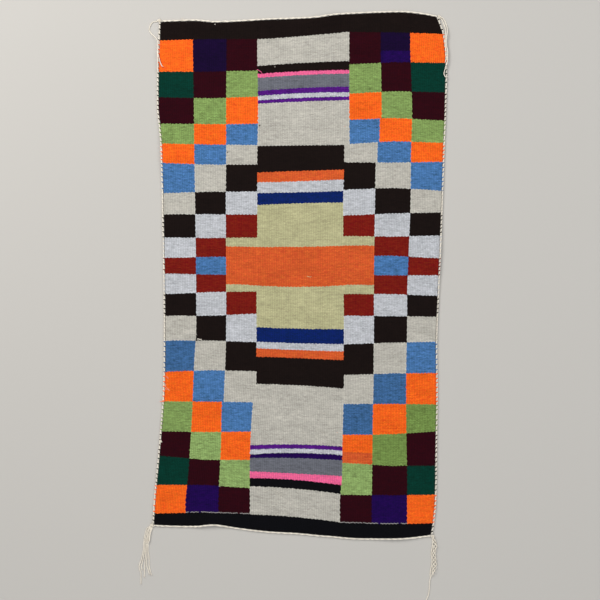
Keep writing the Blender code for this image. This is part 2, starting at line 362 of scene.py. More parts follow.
def grain(tree, place, detail=2.0, roughness=0.5):
    node = tree.nodes.new("ShaderNodeTexNoise")
    feed(tree, place, node.inputs["Vector"])
    node.inputs["Scale"].default_value = 1.0
    node.inputs["Detail"].default_value = detail
    node.inputs["Roughness"].default_value = roughness
    return node.outputs["Fac"]


# A ramp of flat colours: each stop is where a colour begins
def yarnRamp(tree, position, stops, low, high):
    node = tree.nodes.new("ShaderNodeValToRGB")
    ramp = node.color_ramp
    ramp.interpolation = "CONSTANT"
    while len(ramp.elements) < len(stops):
        ramp.elements.new(1.0)
    for element, (start, _) in zip(ramp.elements, stops):
        element.position = max(0.0, (start - low) / (high - low))
    for element, (_, yarn) in zip(ramp.elements, stops):
        element.color = linearColour(yarns[yarn])
    share = calc(tree, "/", calc(tree, "-", position, low), high - low)
    feed(tree, share, node.inputs[0])
    return node.outputs[0]


def addSocket(tree, label, side):
    kind = "NodeSocketColor" if label == "Colour" else "NodeSocketFloat"
    return tree.interface.new_socket(label, in_out=side, socket_type=kind)


def newGroup(name, inputs, outputs):
    tree = bpy.data.node_groups.new(name, "ShaderNodeTree")
    for label, default in inputs.items():
        addSocket(tree, label, "INPUT").default_value = default
    for label in outputs:
        addSocket(tree, label, "OUTPUT")
    return tree, tree.nodes.new("NodeGroupInput").outputs, tree.nodes.new("NodeGroupOutput").inputs


def useGroup(tree, group, **values):
    node = tree.nodes.new("ShaderNodeGroup")
    node.node_tree = group
    for label, value in values.items():
        feed(tree, value, node.inputs[label])
    return node.outputs


weave = {
    "warpPitch": 4.75,
    "beadDepth": 0.6,  # how deep the hollows between the beads are
    "fibreDepth": 0.22,
    "hollowShade": 0.6,  # how much light reaches the hollows; this shade is painted into the colour
    "joinReach": 1.3,  # how close to a border the yarn stands proud
    "joinWidth": 0.45,  # the same at a side join, in warps
    "joinRise": 0.25,
    "joinPaintedLight": 0.1,  # painted highlight: how much brighter the proud yarn at a join is painted, or painted darker in a dark yarn
    "beadTone": 0.15,  # how much one bead differs from the next
    "beadRound": 0.6,  # less than 1 makes a bead fuller
    "toothRows": 3.0,  # passes of the weft from one tooth of a side join to the next turn
    "toothDepth": 0.3,
    "wander": 1.0,  # warps by which a side join strays
    "wanderScale": 0.31,
    "plumChange": (400.0, 583.0),  # below this height the plum is brighter, at the left and right
    "rustMiddle": -484.7,  # where one orange check is finished in rust
    "rustHalf": 14.3,
    "weftGrain": 0.02,  # how much of the fibres' grain runs on from pass to pass
    "paleFrom": 0.11,  # a yarn lighter than this counts as pale at a join
    "thread": (150, 146, 144),  # a broken pale thread above the lower border
    "threadScale": 0.33,
    "threadGaps": 0.42,
}


# Counts how many borders lie above a height, and tells whether one is close by
def countBorders(tree, height, borders, reach):
    count, close = 0.0, 0.0
    for border in borders:
        count = calc(tree, "+", calc(tree, "<", height, border), count)
        close = calc(tree, "MAXIMUM", calc(tree, "COMPARE", height, border, reach), close)
    return count, close


# The woven design: which yarn shows at a warp and a height of the weft
def makePatternGroup():
    inputs = {"Warp": 0.0, "Weft": 0.0, "Check": 0.0, "Band": 0.0}
    tree, given, result = newGroup("rugPattern", inputs, ("Colour", "Bead", "Pick", "Join"))
    work = partial(calc, tree)
    warp, weft = given["Warp"], given["Weft"]
    pick = cloth["pick"]

    # Each pass of the weft shows as a bead on every second warp, so neighbours sit half a bead apart
    odd = work("MODULO", work("FLOOR", warp), 2.0)
    height = work("*+", odd, 0.5, work("/", weft, pick))
    beadNumber = work("FLOOR", height)
    inBead = work("-", height, beadNumber)
    toMiddle = work("*", work("-", 0.5, inBead), pick)
    check = work("+", given["Check"], toMiddle)
    band = work("+", given["Band"], toMiddle)

    # Two yarns turn round a shared warp where blocks meet, so side joins are slightly toothed
    passNumber = work("FLOOR", work("/", weft, pick))
    wander = grain(tree, vector(tree, work("*", passNumber, weave["wanderScale"]), 3.0))
    teeth = work("PINGPONG", work("/", passNumber, weave["toothRows"]), 1.0)
    depth = weave["toothDepth"]
    sway = work("*+", work("-", wander, 0.5), weave["wander"], work("*+", teeth, depth, -depth / 2))
    toothed = work("+", warp, sway)

    # The joins step sideways by whole warps between some rows
    passedRows, atRow = countBorders(tree, check, [border[1] for border in leftRows], weave["joinReach"])
    row = work("-", passedRows, 1.0)
    lowLeft = work(">", row, 14.0)
    above3, above4, above5 = [work("<", row, limit) for limit in (2.5, 3.5, 4.5)]
    innerSteps = work("*", above4, 3.0)
    middleSteps = work("+", work("+", above5, above4), above3)
    edges = (
        joinWarps[0], work("-", joinWarps[1], lowLeft),
        work("-", joinWarps[2], lowLeft), work("+", joinWarps[3], innerSteps),
        work("+", joinWarps[4], middleSteps), joinWarps[5],
    )
    passed = [work(">", toothed, edge) for edge in edges]
    column = 0.0
    for k, edgePassed in enumerate(passed):
        column = work("+" if k < 3 else "-", column, edgePassed)

    # Checks: the yarn depends on row plus column, mirrored about the tenth row
    onRight = work(">", warp, cloth["warps"] / 2)
    fromEnd = work("-", 10.0, work("ABSOLUTE", work("-", row, 9.0)))
    step = work("+", fromEnd, column)
    stops = [(0.0 if k == 1 else k - 0.5, yarn) for k, yarn in enumerate(checkOrder, 1)]
    colour = yarnRamp(tree, step, stops, 0.0, 12.0)
    outer = work("<", column, 0.5)
    inner = work("COMPARE", column, 2.0, 0.25)
    second = work("COMPARE", step, 2.0, 0.25)
    colour = blend(tree, work("*", outer, second), colour, linearColour(yarns["forest"]))

    # The plum checks are brighter from the lower part of the upper right one downwards
    atLeft, atRight = weave["plumChange"]
    changeOver = work("*+", onRight, atRight - atLeft, atLeft)
    lowPlum = work("*", work("<", check, changeOver), work("*", work("-", 1.0, outer), second))
    colour = blend(tree, lowPlum, colour, linearColour(yarns["plumBright"]))

    # One orange check was finished with the darker orange of the panel
    rustHere = work("COMPARE", check, weave["rustMiddle"], weave["rustHalf"])
    darker = work("*", rustHere, work("*", inner, onRight))
    colour = blend(tree, darker, colour, linearColour(yarns["rust"]))

    # A few lower checks are of another dye lot, found by numbering the checks three to a row
    perSide, perRow = 100.0, 3.0
    place = work("*+", onRight, perSide, work("*+", row, perRow, column))
    for side, lotRow, lotColumn, yarn in dyeLots:
        here = work("COMPARE", place, perSide * side + perRow * lotRow + lotColumn, 0.25)
        colour = blend(tree, here, colour, linearColour(yarns[yarn]))

    # Dark borders at head and foot, with a broken pale thread above the lower one
    colour = blend(tree, work("<", row, -0.5), colour, linearColour(yarns["umber"]))
    colour = blend(tree, work(">", row, 18.5), colour, linearColour(yarns["ink"]))
    thread = work("COMPARE", check, leftRows[-1][1] + pick / 2, pick / 2)
    patches = grain(tree, vector(tree, work("*", warp, weave["threadScale"]), 7.0))
    thread = work("*", thread, work(">", patches, weave["threadGaps"]))
    thread = work("*", thread, work(">", column, 0.5))
    colour = blend(tree, thread, colour, linearColour(weave["thread"]))

    # The panel, whose middle stripes reach over the inner checks too
    passedBands, _ = countBorders(tree, band, [stripe[2] for stripe in panelBands], 0.0)
    stripes = [(0.0, "umber")] + [(k + 0.5, stripe[0]) for k, stripe in enumerate(panelBands)]
    panel = yarnRamp(tree, passedBands, stripes, 0.0, len(panelBands) + 1.0)
    wide = work("*", work(">", step, 10.5), inner)
    inPanel = work("MAXIMUM", wide, work(">", column, 2.5))
    colour = blend(tree, inPanel, colour, panel)

    # Where blocks meet the yarn stands a little proud, and the cloth's material paints light or shade on it
    # there
    atRow = work("*", atRow, work("-", 1.0, inPanel))
    join = atRow
    for edge in edges:
        join = work("MAXIMUM", join, work("COMPARE", toothed, edge, weave["joinWidth"]))

    # Height of the bead, round along the rib and across it
    rounds = [work("SINE", work("*", share, math.pi))
              for share in (inBead, work("FRACT", warp))]
    bead = work("*", *[work("POWER", part, weave["beadRound"]) for part in rounds])
    feed(tree, colour, result["Colour"])
    feed(tree, bead, result["Bead"])
    feed(tree, beadNumber, result["Pick"])
    feed(tree, join, result["Join"])
    return tree


# Layers of unevenness in hand-spun wool: scale along the yarn, scale across it, seed, detail
woolLayers = {
    "slubs": (0.06, 0.3, 0.0, 2.0), "fibres": (0.7, 5.0, 9.0, 2.0), "streaks": (0.02, 0.26, 3.0, 3.0),
    "clouds": (0.012, 0.03, 5.0, 1.0),
}
woolTones = {
    "slubs": 0.85,  # how far each layer changes the tone
    "coolSlubs": 1.2,  # added in blue and green yarn
    "warmSlubs": -0.5,  # added in orange and red yarn
    "streaks": 0.6,
    "clouds": 0.35,
    "fibres": 0.4,
    "hue": 0.03,
    "slubHeight": 2.2,
}


# Hand-spun wool: uneven dye along the yarn, slubs and fine fibres
def makeWoolGroup():
    inputs = {"Colour": (0.5, 0.5, 0.5, 1.0), "Along": 0.0, "Across": 0.0, "Uneven": 1.0}
    tree, given, result = newGroup("handSpunWool", inputs, ("Colour", "Height"))
    work = partial(calc, tree)
    along, across = given["Along"], given["Across"]

    def layer(name):
        alongScale, acrossScale, seed, detail = woolLayers[name]
        place = vector(tree, work("*", along, alongScale), work("*", across, acrossScale), seed)
        return work("-", grain(tree, place, detail, 0.6), 0.5)

    parts = tree.nodes.new("ShaderNodeSeparateColor")
    feed(tree, given["Colour"], parts.inputs[0])
    red, green, blue = parts.outputs
    cool = work("-", work("MAXIMUM", green, blue), red)
    cool = work("MINIMUM", work("MAXIMUM", work("*", cool, 6.0), 0.0), 1.0)
    warm = work("MINIMUM", work("MAXIMUM", work("-", red, blue), 0.0), 1.0)
    mottle = work("*+", cool, woolTones["coolSlubs"], woolTones["slubs"])
    mottle = work("*+", warm, woolTones["warmSlubs"], mottle)
    slubs, fibres = layer("slubs"), layer("fibres")
    total = work("*", layer("streaks"), woolTones["streaks"])
    total = work("*+", slubs, mottle, total)
    total = work("*+", layer("clouds"), woolTones["clouds"], total)
    total = work("*+", fibres, woolTones["fibres"], total)
    light = work("*+", total, given["Uneven"], 1.0)
    tone = tree.nodes.new("ShaderNodeHueSaturation")
    feed(tree, work("*+", slubs, woolTones["hue"], 0.5), tone.inputs["Hue"])
    feed(tree, light, tone.inputs["Value"])
    feed(tree, given["Colour"], tone.inputs["Color"])
    feed(tree, tone.outputs[0], result["Colour"])
    feed(tree, work("*+", slubs, woolTones["slubHeight"], fibres), result["Height"])
    return tree


patternGroup = makePatternGroup()
woolGroup = makeWoolGroup()
gloss = {"roughness": 0.95, "specular": 0.06, "sheen": 0.02, "sheenRoughness": 0.6}  # of dull wool


def newMaterial(name, roughness=gloss["roughness"], sheen=gloss["sheen"]):
    material = bpy.data.materials.new(name)
    material.use_nodes = True
    tree = material.node_tree
    shader = tree.nodes["Principled BSDF"]
    shader.inputs["Roughness"].default_value = roughness
    shader.inputs["Specular IOR Level"].default_value = gloss["specular"]
    shader.inputs["Sheen Weight"].default_value = sheen
    shader.inputs["Sheen Roughness"].default_value = gloss["sheenRoughness"]
    return material, tree, shader


def raiseSurface(tree, shader, height, size):
    bump = tree.nodes.new("ShaderNodeBump")
    bump.inputs["Strength"].default_value = 1.0
    bump.inputs["Distance"].default_value = size * mm
    feed(tree, height, bump.inputs["Height"])
    feed(tree, bump.outputs[0], shader.inputs["Normal"])


def patternHere(tree):
    return useGroup(
        tree, patternGroup, Warp=number(tree, "warp"), Weft=number(tree, "weft"),
        Check=number(tree, "check"), Band=number(tree, "band"),
    )


def makeClothMaterial():
    material, tree, shader = newMaterial("wovenWool")
    work = partial(calc, tree)
    pattern = patternHere(tree)
    warp = number(tree, "warp")
    along = work("*", warp, weave["warpPitch"])
    across = work("*", pattern["Pick"], cloth["pick"])
    fine = work("+", across, work("*", number(tree, "weft"), weave["weftGrain"]))
    wool = useGroup(tree, woolGroup, Colour=pattern["Colour"], Along=along, Across=fine)
    single = tree.nodes.new("ShaderNodeTexWhiteNoise")
    single.noise_dimensions = "2D"
    feed(tree, vector(tree, work("FLOOR", warp), pattern["Pick"]), single.inputs["Vector"])
    odd = work("-", single.outputs["Value"], 0.5)
    # Painted shade: the colour is darkened in the hollows between the beads, and each bead also gets its own
    # random tone
    lit = work("*+", pattern["Bead"], 1.0 - weave["hollowShade"], weave["hollowShade"])
    lit = work("*", lit, work("*+", odd, weave["beadTone"], 1.0))
    # Painted highlight on pale yarn and painted shade on dark yarn where the yarn stands proud at a join
    pale = work(">", pattern["Colour"], weave["paleFrom"])
    proud = work("*+", pale, 2.0 * weave["joinPaintedLight"], -weave["joinPaintedLight"])
    lit = work("*", lit, work("*+", pattern["Join"], proud, 1.0))
    paintedLightAndTone = vector(tree, lit, lit, lit)
    feed(tree, blend(tree, 1.0, wool["Colour"], paintedLightAndTone, "MULTIPLY"), shader.inputs["Base Color"])
    height = work("*", pattern["Bead"], weave["beadDepth"])
    height = work("*+", wool["Height"], weave["fibreDepth"], height)
    height = work("*+", pattern["Join"], weave["joinRise"], height)
    raiseSurface(tree, shader, height, 1.0)
    return material


spin = {
    "driftLength": 60.0,  # how soon a yarn's twist changes, and its thickness
    "swellLength": 9.0,
    "plyShift": 90.0,  # sets the wool of one ply apart from the other's
    "uneven": 0.5,  # share of the cloth's unevenness of tone
    "relief": 0.25,
}


# Wool that runs along a strand of yarn
def spinYarn(tree, shader, colour):
    along, around = number(tree, "yarnAlong"), number(tree, "yarnAround")
    wool = useGroup(tree, woolGroup, Colour=colour, Along=along, Across=around, Uneven=spin["uneven"])
    feed(tree, wool["Colour"], shader.inputs["Base Color"])
    raiseSurface(tree, shader, wool["Height"], spin["relief"])


def makeWhiteMaterial():
    material, tree, shader = newMaterial("whiteYarn")
    spinYarn(tree, shader, linearColour(yarns["cordWhite"]))
    return material


# The selvage cord is white, and the weft that binds it has the colour of the cloth beside it
def makeSelvageMaterial():
    material, tree, shader = newMaterial("selvageYarn")
    bound = calc(tree, ">", number(tree, "dye"), 0.5)
    spinYarn(tree, shader, blend(tree, bound, linearColour(yarns["cordWhite"]), patternHere(tree)["Colour"]))
    return material


def slowWave(x, y):
    return noise.noise((x / cloth["wave"], y / cloth["wave"], 0.0)) * cloth["waviness"]


# Woven cloth: a grid with a rib for each warp, given its thickness and a rounded rim
def weaveCloth():
    shape = bmesh.new()
    bmesh.ops.create_grid(shape, x_segments=cloth["warps"] * 2, y_segments=cloth["rows"], size=0.5)
    grid = np.array([vert.co[:2] for vert in shape.verts], float) + 0.5
    warp = grid[:, 0] * cloth["warps"]
    x, y = clothPlaces(warp, grid[:, 1])
    rib = cloth["rib"] * np.cos(2 * np.pi * warp)
    underside = softHeight(lifts, x, y) + cloth["rib"] + rib
    for vert, placeX, placeY, placeZ in zip(shape.verts, x, y, underside):
        vert.co = (placeX * mm, placeY * mm, placeZ * mm)
    result = bmesh.ops.extrude_face_region(shape, geom=shape.faces[:])
    upper = [item for item in result["geom"] if isinstance(item, bmesh.types.BMVert)]
    upperSet = set(upper)
    for vert in upper:
        vert.co.z += slowWave(vert.co.x / mm, vert.co.y / mm) * mm
    x, y = np.array([vert.co.x / mm for vert in upper]), np.array([vert.co.y / mm for vert in upper])
    groove = cloth["rib"] * np.cos(2 * np.pi * warpAt(x, y))
    rise = cloth["thickness"] - cloth["rib"] - 2 * groove + softHeight(puckers, x, y)
    for vert, placeZ in zip(upper, rise):
        vert.co.z += placeZ * mm
    bmesh.ops.recalc_face_normals(shape, faces=shape.faces[:])
    shape.normal_update()
    rim = [edge for edge in shape.edges if len(edge.link_faces) == 2
           and (edge.verts[0] in upperSet) == (edge.verts[1] in upperSet)
           and edge.calc_face_angle(0.0) > math.radians(cloth["rimAngle"])]
    bmesh.ops.bevel(shape, geom=rim, offset=cloth["rim"] * mm, offset_type="OFFSET", affect="EDGES",
                    segments=2, profile=0.5, material=-1)
    piece = finishPiece("wovenCloth", shape, "weaving")
    piece.data.shade_smooth()
    chartPattern(piece.data)
    piece.data.materials.append(makeClothMaterial())
    return piece


def unit(vectors):
    return vectors / np.maximum(np.linalg.norm(vectors, axis=1), 1e-6)[:, None]


# Rolls a flat grid round a route, with the seam underneath; a radius of nothing closes an end
def rollTube(shape, route, radii, sides, along, dye=0.0):
    rings = len(route)
    made = bmesh.ops.create_grid(shape, x_segments=rings - 1, y_segments=sides, size=0.5)
    verts = made["verts"]
    layers = {name: shape.verts.layers.float[name] for name in ("yarnAlong", "yarnAround", "dye")}
    grid = np.array([vert.co[:2] for vert in verts], float) + 0.5
    ring, turn = np.rint(grid[:, 0] * (rings - 1)).astype(int), grid[:, 1]
    ahead = unit(np.gradient(route, axis=0))
    aside = unit(np.cross(np.array((0.0, 0.0, 1.0)), ahead))
    above = np.cross(ahead, aside)
    angle = (turn - 0.25) * 2 * np.pi
    outwards = np.cos(angle)[:, None] * aside[ring] + np.sin(angle)[:, None] * above[ring]
    places = route[ring] + radii[ring][:, None] * outwards
    for vert, place, k, share in zip(verts, places, ring, turn):
        vert.co = place * mm
        vert[layers["yarnAlong"]] = along[k]
        vert[layers["yarnAround"]] = share * 2 * math.pi * radii[k]
        vert[layers["dye"]] = dye
    bmesh.ops.remove_doubles(shape, verts=verts, dist=0.00001)


def noiseAlong(lengths, scale, second, third=0.0):
    return np.array([noise.noise((s / scale, second, third)) for s in lengths])


def routeLengths(route):
    return np.concatenate([[0.0], np.cumsum(np.linalg.norm(np.diff(route, axis=0), axis=1))])


# Steps evenly along a smooth curve through the route's own points
def smoothRoute(points, step):
    points = np.array(points, float)
    marks = routeLengths(points)
    rows = [(mark, *point) for mark, point in zip(marks, points)]
    at = np.linspace(0.0, marks[-1], max(3, int(marks[-1] / step) + 1))
    return np.stack([readTable(rows, column, at) for column in range(1, points.shape[1] + 1)], axis=1)


def roundEnds(lengths, width):
    return np.sqrt(np.clip(np.minimum(lengths, lengths[-1] - lengths) / width, 0.0, 1.0))


def twistPhase(lengths, design, hand, start):
    drift = noiseAlong(lengths, spin["driftLength"], start) * design["drift"]
    return hand * 2 * np.pi * (lengths / design["turn"] + drift) + start


# Twists two plies round a route, each a tube of its own
def plyYarn(shape, route, design, hand, start):
    lengths = routeLengths(route)
    phase = twistPhase(lengths, design, hand, start)
    ahead = np.gradient(route, axis=0)
    aside = unit(np.stack([-ahead[:, 1], ahead[:, 0], np.zeros(len(route))], axis=1))
    above = np.array((0.0, 0.0, 1.0))
    orbit = (design["width"] - design["ply"]) / 2
    for k in range(2):
        angle = phase + np.pi * k
        centre = route - orbit * (np.cos(angle)[:, None] * aside - np.sin(angle)[:, None] * above)
        swell = noiseAlong(lengths, spin["swellLength"], 11.0 + k, start)
        radii = design["ply"] / 2 * (1.0 + swell * design["uneven"]) * roundEnds(lengths, design["ply"])
        rollTube(shape, centre, radii, design["sides"], lengths + spin["plyShift"] * k)


# A single strand with no twist, such as a turn of the weft or a loose fibre
def layStrand(shape, route, width, sides, dye=0.0, thin=1.0):
    lengths = routeLengths(route)
    taper = np.linspace(1.0, thin, len(route))
    radii = width / 2 * taper * roundEnds(lengths, width)
    rollTube(shape, route, radii, sides, lengths, dye)


# Yarn that lies on the floor is flattened a little under its own weight
def restOnFloor(shape):
    for vert in shape.verts:
        vert.co.z = max(vert.co.z, 0.0)


def newYarnShape():
    shape = bmesh.new()
    for name in ("yarnAlong", "yarnAround", "dye"):
        shape.verts.layers.float.new(name)
    return shape


sideCord = {
    "width": 5.0, "ply": 2.6, "turn": 25.2, "drift": 0.35, "uneven": 0.16, "sides": 8, "step": 1.4,
    "starts": {"left": 0.4, "right": 2.1},  # where the twist begins
    "trims": {"left": (3.5, 0.5), "right": (0.5, 2.5)},  # short of the cloth's foot and head
}
endCord = {
    "width": 4.4, "ply": 2.5, "turn": 33.0, "drift": 0.5, "uneven": 0.42, "sides": 8, "step": 1.6,
    "start": 0.9, "wander": 0.7, "wanderLength": 11.0, "wanderMean": 0.8,
    "trims": {"bottom": (-1.5, -1.6), "top": (0.0, -3.2)},  # short of the cloth's left and right
}
binding = {
    "width": 1.5, "gap": 1.35, "lean": 0.9, "high": 2.35, "steps": 13, "sides": 5,
    "inwards": 2.95, "outwards": 2.0,  # how far a turn reaches from the cord's middle
}


# Turns of the weft bind the selvage cord to the cloth wherever its two strands cross
def bindCord(shape, route, phase, inward):
    crossings = np.nonzero(np.diff(np.sign(np.sin(phase))))[0]
    t = np.linspace(-0.5 * np.pi, 1.5 * np.pi, binding["steps"])
    reach = (binding["inwards"] + binding["outwards"]) / 2
    shift = (binding["inwards"] - binding["outwards"]) / 2
    for k in crossings:
        for gap in (-0.5, 0.5):
            across = shift + reach * np.cos(t)
            along = gap * binding["gap"] - binding["lean"] * np.cos(t)
            turn = np.stack([inward * across, along, binding["high"] * np.sin(t)], axis=1)
            layStrand(shape, route[k] + turn, binding["width"], binding["sides"], dye=1.0)


def laySideCord(side):
    column, inward = (1, 1.0) if side == "left" else (2, -1.0)
    inset = sideCord["width"] / 2 * inward
    edge = cloth["sideInset"] * inward
    low, high = rugSides[-1][0], rugSides[0][0]
    for _ in range(4):  # the edge meets the cloth's foot and head where both lines agree
        low = endsAt(readTable(rugSides, column, np.array([low])) + edge)[0][0]
        high = endsAt(readTable(rugSides, column, np.array([high])) + edge)[1][0]
    trims = sideCord["trims"][side]
    y = np.arange(low + trims[0], high - trims[1], sideCord["step"])
    x = readTable(rugSides, column, y) + inset
    route = np.stack([x, y, sideCord["width"] / 2 + softHeight(lifts, x, y)], axis=1)
    shape = newYarnShape()
    start = sideCord["starts"][side]
    plyYarn(shape, route, sideCord, hand=inward, start=start)
    bindCord(shape, route, twistPhase(routeLengths(route), sideCord, inward, start), inward)
    restOnFloor(shape)
    piece = finishPiece("selvageCord" + side.title(), shape, "side_cord_" + side)
    return piece, routeLengths(route)[-1]


def layEndCord(end):
    column, inward = (1, 1.0) if end == "bottom" else (2, -1.0)
    inset = endCord["width"] / 2 * inward
    y = rugEnds[0][column], rugEnds[-1][column]
    left = readTable(rugSides, 1, np.array([y[0]]))[0] + cloth["sideInset"] + endCord["trims"][end][0]
    right = readTable(rugSides, 2, np.array([y[1]]))[0] - cloth["sideInset"] - endCord["trims"][end][1]
    x = np.arange(left, right, endCord["step"])
    wander = noiseAlong(x, endCord["wanderLength"], column, 4.0)
    wander = (wander + endCord["wanderMean"]) * endCord["wander"]
    y = readTable(rugEnds, column, x) + inset - wander * inward
    route = np.stack([x, y, endCord["width"] / 2 + softHeight(lifts, x, y)], axis=1)
    shape = newYarnShape()
    plyYarn(shape, route, endCord, hand=1.0, start=endCord["start"])
    restOnFloor(shape)
    piece = finishPiece("endCord" + end.title(), shape, "end_cord_" + end)
    return piece, routeLengths(route)[-1]


tasselYarn = {
    "width": 2.8, "ply": 1.65, "turn": 9.0, "drift": 0.5, "uneven": 0.3, "sides": 6, "step": 0.8,
}
crinkle = {"size": 0.55, "length": 6.5, "start": 12.0}
plait = {"turn": 36.0, "rise": 3.0, "stagger": 7.0}
knot = {"yarn": 2.8, "steps": 96, "turn": 2.04, "stretch": 1.12, "rise": 0.5, "ply": 0.6}
fringe = {
    "fibres": 6, "width": 0.4, "reach": (3.0, 7.5), "lean": 0.5, "fan": 0.25, "curl": 0.35, "root": 2.0,
    "splay": 1.2, "arch": 0.5, "sides": 4, "steps": 9, "tip": 0.4,
}

# The loose ends of the cords at the four corners, as x, y and the height of the yarn's underside
tassels = {
    "top_left": {
        "knot": (-378.5, 687.0, 0.0, 1.45, 0.2),
        "strands": (
            ((-382, 686, 0), (-387, 685, 0), (-394, 684, 0), (-399, 681, 0), (-403, 674, 0), (-406, 664, 0),
             (-401, 653, 0), (-393, 645, 3.2), (-386, 637, 5.5), (-382, 629, 5.5), (-383, 606, 5.5),
             (-383, 570, 5.5), (-382, 549, 5.5)),
            ((-383, 604, 5.7), (-380, 589, 5.7), (-375, 572, 5.5), (-370, 562, 5.2)),
        ),
    },
    "top_right": {
        "knot": (378.0, 696.6, 0.0, 1.5, 1.1),
        "strands": (
            ((380, 695, 0), (386, 687, 0), (391, 675, 0), (394, 663, 3.6), (393.5, 652, 5.5), (393, 640, 5.5),
             (393, 624, 5.5), (395, 605, 5.5), (396, 589, 5.5), (394, 575, 5.5)),
            ((383, 697, 0), (391, 690, 0), (396, 678, 0), (399, 663, 3.2), (398, 650, 5.5), (396.5, 640, 5.5),
             (396, 624, 5.5), (399, 605, 5.5), (399.5, 586, 5.5), (398, 571, 5.5), (393, 556, 5.5),
             (390, 544, 5.5), (393, 535, 5.5), (398, 534, 5.5)),
        ),
    },
    "bottom_left": {
        "knot": (-398.4, -676.0, 0.0, 1.5, 0.6),
        "strands": (
            ((-402, -678, 0), (-412, -685, 0), (-417, -699, 0), (-420, -718, 0), (-422, -742, 0),
             (-425, -759, 0), (-428, -772, 0), (-433, -786, 0), (-432, -795, 0), (-428, -806, 0),
             (-428, -818, 0), (-428, -834, 0)),
            ((-401, -679, 0), (-409, -687, 0), (-414, -702, 0), (-417, -721, 0), (-419, -742, 0),
             (-421, -760, 0), (-424, -775, 0), (-427, -788, 0), (-425, -796, 0)),
            ((-400, -680, 0), (-407, -689, 0), (-411, -705, 0), (-414, -724, 0), (-416, -745, 0),
             (-417, -767, 0), (-418, -788, 0), (-419, -815, 0)),
            ((-399, -681, 0), (-404, -691, 0), (-408.5, -707, 0), (-411, -724, 0), (-412, -745, 0),
             (-412, -761, 0), (-413, -775, 0), (-411, -790, 0), (-407, -801, 0), (-405, -809, 0)),
            ((-398, -681, 0), (-402, -693, 0), (-405.5, -709, 0), (-408, -725, 0), (-409, -742, 0),
             (-407, -759, 0), (-406, -772, 0), (-406, -786, 0), (-403, -799, 0), (-400, -811, 0)),
            ((-397, -682, 0), (-400, -690, 1), (-403, -699, 2), (-404, -708, 2), (-405.5, -718, 2),
             (-408, -722.5, 2.2), (-412.5, -720.5, 2.6)),
        ),
    },
    "bottom_right": {
        "knot": (360.2, -706.8, 0.0, 1.5, 0.0),
        "strands": (
            ((360, -711, 0), (359, -732, 0), (356, -753, 0), (358, -770, 0), (356, -788, 0), (353, -805, 0),
             (354, -817, 0), (352, -829, 0), (351, -845, 0), (348, -864, 0), (343, -878, 0), (338, -894, 0),
             (337, -909, 0)),
        ),
        # x, y and half the width of the plait down its middle
        "plait": ((363.2, -712, 2.2), (364.4, -722, 4.6), (365.6, -731, 5.6), (364.8, -741, 4.4),
                  (363.2, -752, 4.2), (364.2, -762, 4.8), (364.6, -772, 4.4), (364.8, -784, 5.8),
                  (363.4, -794, 5.0), (361.5, -806, 3.6), (360.5, -815, 3.2)),
    },
}


# An overhand knot pulled flat: one closed turn of yarn that passes over and under itself
def tieKnot(shape, place):
    x, y, low, size, turned = place
    t = np.linspace(0.0, knot["turn"] * np.pi, knot["steps"])
    route = np.stack([np.sin(t) + 2 * np.sin(2 * t), np.cos(t) - 2 * np.cos(2 * t), -np.sin(3 * t)], axis=1)
    route *= (size, size * knot["stretch"], knot["yarn"] * knot["rise"])
    cosine, sine = math.cos(turned), math.sin(turned)
    route[:, :2] = route[:, :2] @ np.array(((cosine, sine), (-sine, cosine)))
    route += (x, y, low + knot["yarn"])
    cord = dict(tasselYarn, width=knot["yarn"], ply=knot["yarn"] * knot["ply"])
    plyYarn(shape, route, cord, hand=1.0, start=turned)


# Fine fibres that stand out of a strand's cut end
def fringeEnd(shape, route, chance):
    tip, heading = route[-1], route[-1] - route[-3]
    heading = heading / np.linalg.norm(heading)
    aside = np.array((-heading[1], heading[0], 0.0))
    for k in range(fringe["fibres"]):
        reach = chance.uniform(*fringe["reach"])
        lean = chance.uniform(-fringe["lean"], fringe["lean"])
        lean += fringe["fan"] * (k - (fringe["fibres"] - 1) / 2)
        curl = chance.uniform(-fringe["curl"], fringe["curl"])
        root = tip - heading * fringe["root"] + aside * lean * fringe["splay"]
        points = [root + heading * reach * s + aside * reach * (lean * s + curl * s * s)
                  + (0, 0, fringe["arch"] * math.sin(s * 3)) for s in np.linspace(0, 1, fringe["steps"])]
        layStrand(shape, np.array(points), fringe["width"], fringe["sides"], thin=fringe["tip"])


# Three strands that pass over and under each other down a middle line
def plaitRoutes(middle):
    line = smoothRoute(middle, tasselYarn["step"])
    s = routeLengths(line[:, :2])
    routes = []
    for k in range(3):
        phase = 2 * np.pi * (s / plait["turn"] + k / 3)
        short = len(s) - int(k * plait["stagger"] / tasselYarn["step"])
        x = line[:, 0] + line[:, 2] * np.sin(phase)
        z = plait["rise"] * (1 + np.sin(2 * phase)) / 2
        routes.append(np.stack([x, line[:, 1], z], axis=1)[:short])
    return routes


def crinkled(route, seed):
    lengths = routeLengths(route)
    settled = np.minimum(lengths / crinkle["start"], 1.0) * crinkle["size"]
    for axis in (0, 1):
        route[:, axis] += settled * noiseAlong(lengths, crinkle["length"], seed, axis * 7.0)
    return route


def hangTassel(corner, chance):
    shape = newYarnShape()
    tassel = tassels[corner]
    tieKnot(shape, tassel["knot"])
    routes = [smoothRoute(strand, tasselYarn["step"]) for strand in tassel["strands"]]
    if "plait" in tassel:
        routes += plaitRoutes(tassel["plait"])
    longest = 0.0
    for route in routes:
        route = crinkled(route, chance.uniform(0, 90))
        route[:, 2] += tasselYarn["width"] / 2
        plyYarn(shape, route, tasselYarn, hand=1.0, start=chance.uniform(0, 6))
        fringeEnd(shape, route, chance)
        longest = max(longest, routeLengths(route)[-1])
    restOnFloor(shape)
    piece = finishPiece("tassel" + corner.title().replace("_", ""), shape, "tassel_" + corner)
    return piece, longest


